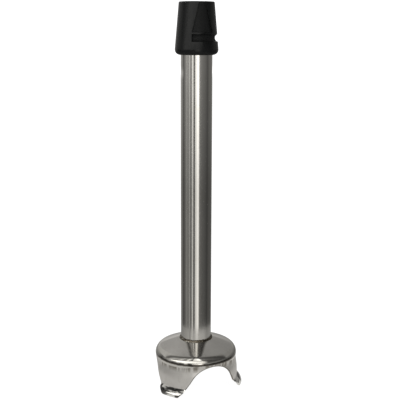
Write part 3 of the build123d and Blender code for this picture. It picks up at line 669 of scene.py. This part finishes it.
def bell_section(column):
    """One column of the bell, as (angle, radius, height): outside from the tube's hole down to
    the edge, round it, and up the inside."""
    outer_edge = edge_point(column, 0)
    inner_edge = edge_point(column, 1)
    points = []

    def top(angle, inset, steps):
        for i in steps:
            radius = blend(TUBE_RADIUS, DOME_EDGE - inset * math.sin(DOME_SLOPE), i / TOP_ROWS)
            points.append((angle, radius, dome_height(radius, inset)))

    def rim(angle, inset, steps):
        arc = RIM_ARC - inset
        for i in steps:
            turn = blend(DOME_SLOPE, math.pi / 2, i / RIM_ROWS)
            radius = RIM_CENTRE + arc * math.sin(turn)
            points.append((angle, radius, RIM_HEIGHT + arc * math.cos(turn)))

    top(outer_edge[0], 0, range(TOP_ROWS))
    rim(outer_edge[0], 0, range(RIM_ROWS + 1))
    for height in skirt_heights(outer_edge[2]):
        points.append((outer_edge[0], outer_radius(height), height))
    for i in range(EDGE_ROWS + 1):
        points.append(edge_point(column, i / EDGE_ROWS))
    for height in reversed(skirt_heights(inner_edge[2])):
        points.append((inner_edge[0], inner_radius(height), height))
    rim(inner_edge[0], WALL, reversed(range(RIM_ROWS + 1)))
    top(inner_edge[0], WALL, reversed(range(TOP_ROWS)))
    return points


def bell_guard():
    """Spun bell with three feet: buffed dome, polished rim and toes, satin skirt and inside,
    window edges; shade and reflections are painted into the colour of the rim, toes, skirt and
    edges."""
    half = [bell_section(column) for column in window_columns()]
    columns = []
    for foot in range(FOOT_COUNT):
        middle = math.radians(foot * FOOT_STEP)
        columns += [[(middle + a, r, z) for a, r, z in section] for section in half]
        next_middle = middle + math.radians(FOOT_STEP)
        for section in half[-2:0:-1]:
            columns.append([(next_middle - a, r, z) for a, r, z in section])
    rows = len(half[0])
    count = len(columns)
    points = [ring_point(*columns[column][row]) for row in range(rows) for column in range(count)]
    rim_end = TOP_ROWS + RIM_ROWS
    edge_end = rim_end + SKIRT_ROWS + LOWER_ROWS + EDGE_ROWS
    looks = []
    for row in range(rows):
        for column in range(count):
            if row < TOP_ROWS + 1:
                looks.append(DOME)
            elif row < rim_end + 2:
                looks.append(RIM)
            elif row < edge_end and columns[column][row][2] < CREASE_HEIGHT + 0.01:
                looks.append(TOE)
            elif edge_end - EDGE_ROWS - 1 <= row < edge_end:
                looks.append(EDGE)
            else:
                looks.append(SATIN)
    bell = mesh_object("bell", points, loop_faces(rows, count), BELL_LOOKS, looks)
    stand_for(bell, "bell_guard", "arm")


bell_guard()


# ---- Tube and weld ----------------------------------------------------------------------------
TUBE_COLUMNS = 144
TUBE_ROWS = 12
DIMPLE_ROWS = 24
ROWS_OVER_DIMPLES = 4


def dimple_depth(angle, height):
    """How far a dimple is pressed in at this place on the tube."""
    rise = (height - DIMPLE_HEIGHT) / DIMPLE_HALF_HEIGHT
    if abs(rise) >= 1:
        return 0.0
    depth = 0.0
    for middle in DIMPLE_ANGLES:
        off = math.remainder(angle - math.radians(middle), 2 * math.pi) / DIMPLE_HALF_ANGLE
        if abs(off) < 1:
            swell = math.cos(off * math.pi / 2) * math.cos(rise * math.pi / 2)
            depth += DIMPLE_DEPTH * swell**2
    return depth


def shaft_tube():
    """Open tube, with more rows where its two dimples are."""
    low, high = TUBE_LOW[2], TUBE_HIGH[2]
    dimple_low = DIMPLE_HEIGHT - DIMPLE_HALF_HEIGHT
    dimple_high = DIMPLE_HEIGHT + DIMPLE_HALF_HEIGHT
    heights = [blend(low, dimple_low, i / TUBE_ROWS) for i in range(TUBE_ROWS)]
    heights += [blend(dimple_low, dimple_high, i / DIMPLE_ROWS) for i in range(DIMPLE_ROWS)]
    over = range(ROWS_OVER_DIMPLES + 1)
    heights += [blend(dimple_high, high, i / ROWS_OVER_DIMPLES) for i in over]
    section = [(TUBE_RADIUS, height) for height in heights]
    section += [(TUBE_BORE, height) for height in reversed(heights)]
    angles = [2 * math.pi * i / TUBE_COLUMNS for i in range(TUBE_COLUMNS)]
    points = []
    for radius, height in section:
        for angle in angles:
            points.append(ring_point(angle, radius - dimple_depth(angle, height), height))
    faces = loop_faces(len(section), TUBE_COLUMNS)
    tube = mesh_object("tube", points, faces, [MATERIALS["tube_stainless"]])
    stand_for(tube, "shaft_tube", "arm")


BEAD_COLUMNS = 300
BEAD_ROWS = 12
BEAD_WIDTH = 1.9
BEAD_HEIGHT = 2.1
BEAD_BULGE = 0.25


def tube_weld_bead():
    """Fillet weld whose edges wander, with the ripples of its passes."""
    points = []
    for row in range(BEAD_ROWS + 1):
        share = row / BEAD_ROWS
        for column in range(BEAD_COLUMNS):
            angle = 2 * math.pi * column / BEAD_COLUMNS
            around = Vector((math.cos(angle), math.sin(angle), 0))
            wander = noise.noise(around * 5)
            sag = noise.noise(around * 6 + Vector((0, 0, 9)))
            ripple = noise.noise(around * 16 + Vector((0, 0, 4)))
            height = BEAD_HEIGHT * (1 + 0.35 * wander + 0.15 * ripple)
            width = BEAD_WIDTH * (1 + 0.3 * sag + 0.12 * ripple)
            foot = TUBE_RADIUS + width
            start = (TUBE_RADIUS, JUNCTION + height)
            end = (foot, dome_height(foot, 0.1))
            bulge = BEAD_BULGE * (1 + 0.8 * ripple) * math.sin(math.pi * share)
            radius = blend(start[0], end[0], share) + bulge
            rise = blend(start[1], end[1], share) + bulge
            points.append(ring_point(angle, radius, rise))
    for radius in (TUBE_RADIUS + 0.5, TUBE_RADIUS - 0.3):
        for column in range(BEAD_COLUMNS):
            points.append(ring_point(2 * math.pi * column / BEAD_COLUMNS, radius, JUNCTION - 1))
    faces = loop_faces(BEAD_ROWS + 3, BEAD_COLUMNS)
    bead = mesh_object("weld_bead", points, faces, [MATERIALS["weld"]], sharp=60)
    stand_for(bead, "tube_weld_bead", "arm")


shaft_tube()
tube_weld_bead()


# ---- Pieces whose CAD shape is right and only needs its edges softened ------------------------
MERGE_DISTANCE = 0.002
FLAT_ANGLE = math.radians(0.5)
BEVEL_ANGLE = math.radians(35)


def softened(node, name, body, slot, width, segments):
    """The CAD mesh with its edges bevelled, this wide in millimetres."""
    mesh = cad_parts[node].data.copy()
    mesh.name = name
    shape = bmesh.new()
    shape.from_mesh(mesh)
    bmesh.ops.remove_doubles(shape, verts=shape.verts, dist=MERGE_DISTANCE * MM)
    flat = {"verts": shape.verts, "edges": shape.edges}
    bmesh.ops.dissolve_limit(shape, angle_limit=FLAT_ANGLE, **flat)
    shape.to_mesh(mesh)
    shape.free()
    mesh.shade_smooth()
    piece = add_object(name, mesh)
    edge = piece.modifiers.new("soft_edges", "BEVEL")
    edge.width = width * MM
    edge.segments = segments
    edge.limit_method = "ANGLE"
    edge.angle_limit = BEVEL_ANGLE
    edge.harden_normals = True
    stand_for(piece, node, body)


SOFTENED = (
    ("coupling_collar", "collar", "arm", "collar_plastic", 0.45, 3),
    ("seal_cap", "seal_cover", "arm", "machined_stainless", 0.2, 2),
    ("lower_bearing_housing", "bearing_hub", "arm", "machined_stainless", 0.25, 2),
    ("seal_sleeve", "shaft_sleeve", "drive_train", "hardened_steel", 0.2, 2),
    ("blade", "cutter", "drive_train", "blade_steel", 0.12, 2),
    ("blade_washer", "cutter_washer", "drive_train", "machined_stainless", 0.15, 2),
    ("blade_nut", "cutter_nut", "drive_train", "machined_stainless", 0.2, 2),
    ("drive_coupling", "coupling_cup", "drive_train", "drive_plastic", 0.25, 2),
    ("coupling_cross_pin", "cup_pin", "drive_train", "hardened_steel", 0.15, 2),
    ("collar_screws", "socket_screws", "arm", "black_oxide_steel", 0.12, 2),
)
for row in SOFTENED:
    softened(*row)


# ---- Studio -----------------------------------------------------------------------------------
CAMERA_TURN = math.radians(4)
CAMERA_TILT = math.radians(78.413)
CAMERA_ROLL = math.radians(0.1934)
CAMERA_SIDE = 0.00465
CAMERA_DISTANCE = 0.9975
CAMERA_HEIGHT = 0.4434
CAMERA_LENS = 74.07
SENSOR_WIDTH = 36
STUDIO_RADIUS = 2.5
FLOOR_RADIUS = 8
TABLE_RADIUS = 0.225
TABLE_LEVEL = 0.58
TABLE_EDGE_START = 0.14
TABLE_EDGE_FULL = 0.17
STRIP_SHIFT = 3
NEAR_HIGH_GAIN = 1.6
SKY_LEVEL = 1.25

# Light that the steel picks up at table height and below, by angle from the camera to the right
STRIPS = (
    (-180, 0.40),
    (-160, 0.30),
    (-144, 0.24),
    (-125, 0.18),
    (-111, 0.06),
    (-99, 0.14),
    (-88, 0.19),
    (-79, 0.29),
    (-68, 0.21),
    (-60, 0.21),
    (-54, 0.50),
    (-48, 0.17),
    (-37, 0.20),
    (-31, 0.90),
    (-27, 0.62),
    (-22, 0.10),
    (-14, 0.07),
    (-10, 0.78),
    (-2, 0.92),
    (5, 1.25),
    (14, 1.30),
    (19, 0.22),
    (28, 0.17),
    (44, 0.13),
    (66, 0.10),
    (87, 0.06),
    (98, 0.10),
    (122, 0.11),
    (139, 0.13),
    (160, 0.20),
    (180, 0.40),
)
# Light from above the horizon, by angle from the far wall over the top to the camera's side
OVERHEAD = (
    (0, 0.40),
    (24, 0.42),
    (58, 0.46),
    (74, 0.40),
    (80, 0.20),
    (92, 0.11),
    (110, 0.11),
    (135, 0.2),
    (139, 1.6),
    (160, 1.6),
    (166, 0.08),
    (180, 0.05),
)
# How much of the light high on the camera's side is left, by angle from the camera to the right
NEAR_MASK = (
    (-180, 0.5),
    (-130, 0.8),
    (-90, 1.0),
    (18, 1.0),
    (32, 0.10),
    (180, 0.08),
)
# The same as the upright strips on the outer part of the table top
TABLE_STRIPS = (
    (-180, 0.30),
    (-120, 0.32),
    (-80, 0.42),
    (-54, 0.50),
    (-46, 0.34),
    (-30, 0.66),
    (-18, 0.50),
    (-5, 0.62),
    (8, 0.85),
    (18, 0.60),
    (60, 0.52),
    (85, 0.34),
    (120, 0.36),
    (180, 0.30),
)
WARMTH = (1.0, 0.985, 0.95)


def stage_object(name, mesh, glossy, camera):
    made = add_object(name, mesh)
    made.visible_glossy = glossy
    made.visible_camera = camera
    made.visible_diffuse = False
    made.visible_shadow = False
    made.visible_transmission = False


def disc_mesh(name, radius, height, sides=96):
    mesh = bpy.data.meshes.new(name)
    ring = [ring_point(2 * math.pi * i / sides, radius, height) for i in range(sides)]
    mesh.from_pydata(ring, [], [tuple(range(sides))])
    return mesh


def glow(name):
    """An emission material that lights by being seen in reflections."""
    f = Finish(name)
    f.tree.nodes.remove(f.shader)
    light = f.add("ShaderNodeEmission")
    f.tree.links.new(light.outputs[0], f.tree.nodes["Material Output"].inputs["Surface"])
    f.material.cycles.emission_sampling = "NONE"
    return f, light


def level_ramp(f, degrees, stops, tint=WARMTH):
    """Colour by angle from (angle, level) stops, as a share of the highest level, which comes
    second."""
    first, last = stops[0][0], stops[-1][0]
    share = f.spread(degrees, first, last, 0, 1)
    top = max(level for _, level in stops)
    coloured = []
    for angle, level in stops:
        coloured.append(((angle - first) / (last - first), [level / top * part for part in tint]))
    return f.ramp(share, *coloured), top


def from_camera(f):
    """Place in the world, and how far right of the object, behind it and above the floor it is,
    as seen from the camera's side of the studio."""
    place = f.add("ShaderNodeNewGeometry").outputs["Position"]
    inputs = {"Vector": place, "Angle": -CAMERA_TURN}
    turned = f.add("ShaderNodeVectorRotate", inputs, rotation_type="Z_AXIS").outputs[0]
    return place, *f.add("ShaderNodeSeparateXYZ", {"Vector": turned}).outputs


def degrees_from(f, across, along):
    return f.math("DEGREES", f.math("ARCTAN2", across, along))


def studio_surround():
    """Big lit sphere that only reflections see: upright strips of light round the object, and
    long soft boxes overhead."""
    mesh = bpy.data.meshes.new("surround")
    shape = bmesh.new()
    bmesh.ops.create_icosphere(shape, subdivisions=5, radius=STUDIO_RADIUS)
    shape.to_mesh(mesh)
    shape.free()
    stage_object("surround", mesh, glossy=True, camera=False)
    f, light = glow("surround_light")
    _, right, away, up = from_camera(f)
    near = f.math("MULTIPLY", away, -1)
    around = f.math("SUBTRACT", degrees_from(f, right, near), STRIP_SHIFT)
    over = degrees_from(f, f.math("MAXIMUM", up, 0), away)
    low_colour, low_top = level_ramp(f, around, STRIPS)
    high_colour, high_top = level_ramp(f, over, OVERHEAD)
    mask, _ = level_ramp(f, around, NEAR_MASK, tint=(1, 1, 1))
    strip_share = [NEAR_HIGH_GAIN * low_top / high_top] * 3
    near_high = f.mix(1.0, low_colour, strip_share, "MULTIPLY")
    near_low = f.mix(1.0, high_colour, mask, "MULTIPLY")
    near_colour = f.mix(f.spread(over, 128, 134, 0, 1), near_high, near_low)
    high_colour = f.mix(f.spread(over, 98, 106, 0, 1), high_colour, near_colour)
    rise = f.spread(up, -0.2, 0.35, 1.0, 1.8)
    low_level = f.math("MULTIPLY", rise, low_top)
    side = f.spread(right, -1.5, 1.5, 1.15, 0.6)
    high_level = f.math("MULTIPLY", side, high_top)
    above = f.spread(up, 0.5, 0.6, 0, 1)
    f.tree.links.new(f.mix(above, low_colour, high_colour), light.inputs["Color"])
    gain = f.math("SUBTRACT", high_level, low_level)
    level = f.math("ADD", low_level, f.math("MULTIPLY", above, gain))
    f.tree.links.new(level, light.inputs["Strength"])
    mesh.materials.append(f.material)


def studio_table():
    """The pale table top as the steel sees it, out to its edge, with soft light across its rim."""
    mesh = disc_mesh("table_top", TABLE_RADIUS, -0.0004)
    stage_object("table_top", mesh, glossy=True, camera=False)
    f, light = glow("table_light")
    place, right, away, _ = from_camera(f)
    around = degrees_from(f, right, f.math("MULTIPLY", away, -1))
    colour, top = level_ramp(f, around, TABLE_STRIPS)
    outer = f.spread(f.length(place), TABLE_EDGE_START, TABLE_EDGE_FULL, 0, 1)
    cloud = f.noise(f.stretched((60, 60, 60)), detail=3)
    plain_low = [TABLE_LEVEL / top * part for part in WARMTH]
    plain = f.tones(cloud, plain_low, [1.08 * part for part in plain_low])
    f.tree.links.new(f.mix(outer, plain, colour), light.inputs["Color"])
    light.inputs["Strength"].default_value = top
    mesh.materials.append(f.material)


def studio_floor():
    """Plain white floor, bright enough to lose all but a trace of the contact shadow. It is
    clear from below."""
    mesh = disc_mesh("floor", FLOOR_RADIUS, -0.0002)
    stage_object("floor", mesh, glossy=False, camera=True)
    f = Finish("floor_white", Roughness=0.9, Emission_Strength=0.95)
    f.shader.inputs["Emission Color"].default_value = (1, 1, 1, 1)
    cloud = f.noise(f.stretched((400, 400, 400)), detail=2)
    f.colour(f.tones(cloud, (0.11, 0.11, 0.11), (0.13, 0.13, 0.13)))
    below = f.add("ShaderNodeNewGeometry").outputs["Backfacing"]
    clear = f.add("ShaderNodeBsdfTransparent").outputs[0]
    seen = f.add("ShaderNodeMixShader", {0: below, 1: f.shader.outputs[0], 2: clear})
    f.tree.links.new(seen.outputs[0], f.tree.nodes["Material Output"].inputs["Surface"])
    mesh.materials.append(f.material)


def studio_sky():
    """Even white light for matt surfaces, and the white background."""
    world = bpy.data.worlds.new("white_room")
    world.use_nodes = True
    sky = world.node_tree.nodes["Background"]
    sky.inputs["Color"].default_value = (1, 1, 1, 1)
    sky.inputs["Strength"].default_value = SKY_LEVEL
    world.cycles_visibility.glossy = False
    bpy.context.scene.world = world


def studio_camera():
    data = bpy.data.cameras.new("camera")
    data.lens = CAMERA_LENS
    data.sensor_width = SENSOR_WIDTH
    made = add_object("camera", data)
    turn = Matrix.Rotation(CAMERA_TURN, 4, "Z")
    place = turn @ Matrix.Translation((CAMERA_SIDE, -CAMERA_DISTANCE, CAMERA_HEIGHT))
    tilt = Matrix.Rotation(CAMERA_TILT, 4, "X")
    made.matrix_world = place @ tilt @ Matrix.Rotation(CAMERA_ROLL, 4, "Z")
    bpy.context.scene.camera = made


for leftover in ("Cube", "Light", "Camera"):
    if leftover in bpy.data.objects:
        bpy.data.objects.remove(bpy.data.objects[leftover])
studio_surround()
studio_table()
studio_floor()
studio_sky()
studio_camera()
bpy.context.scene.view_settings.view_transform = "Standard"
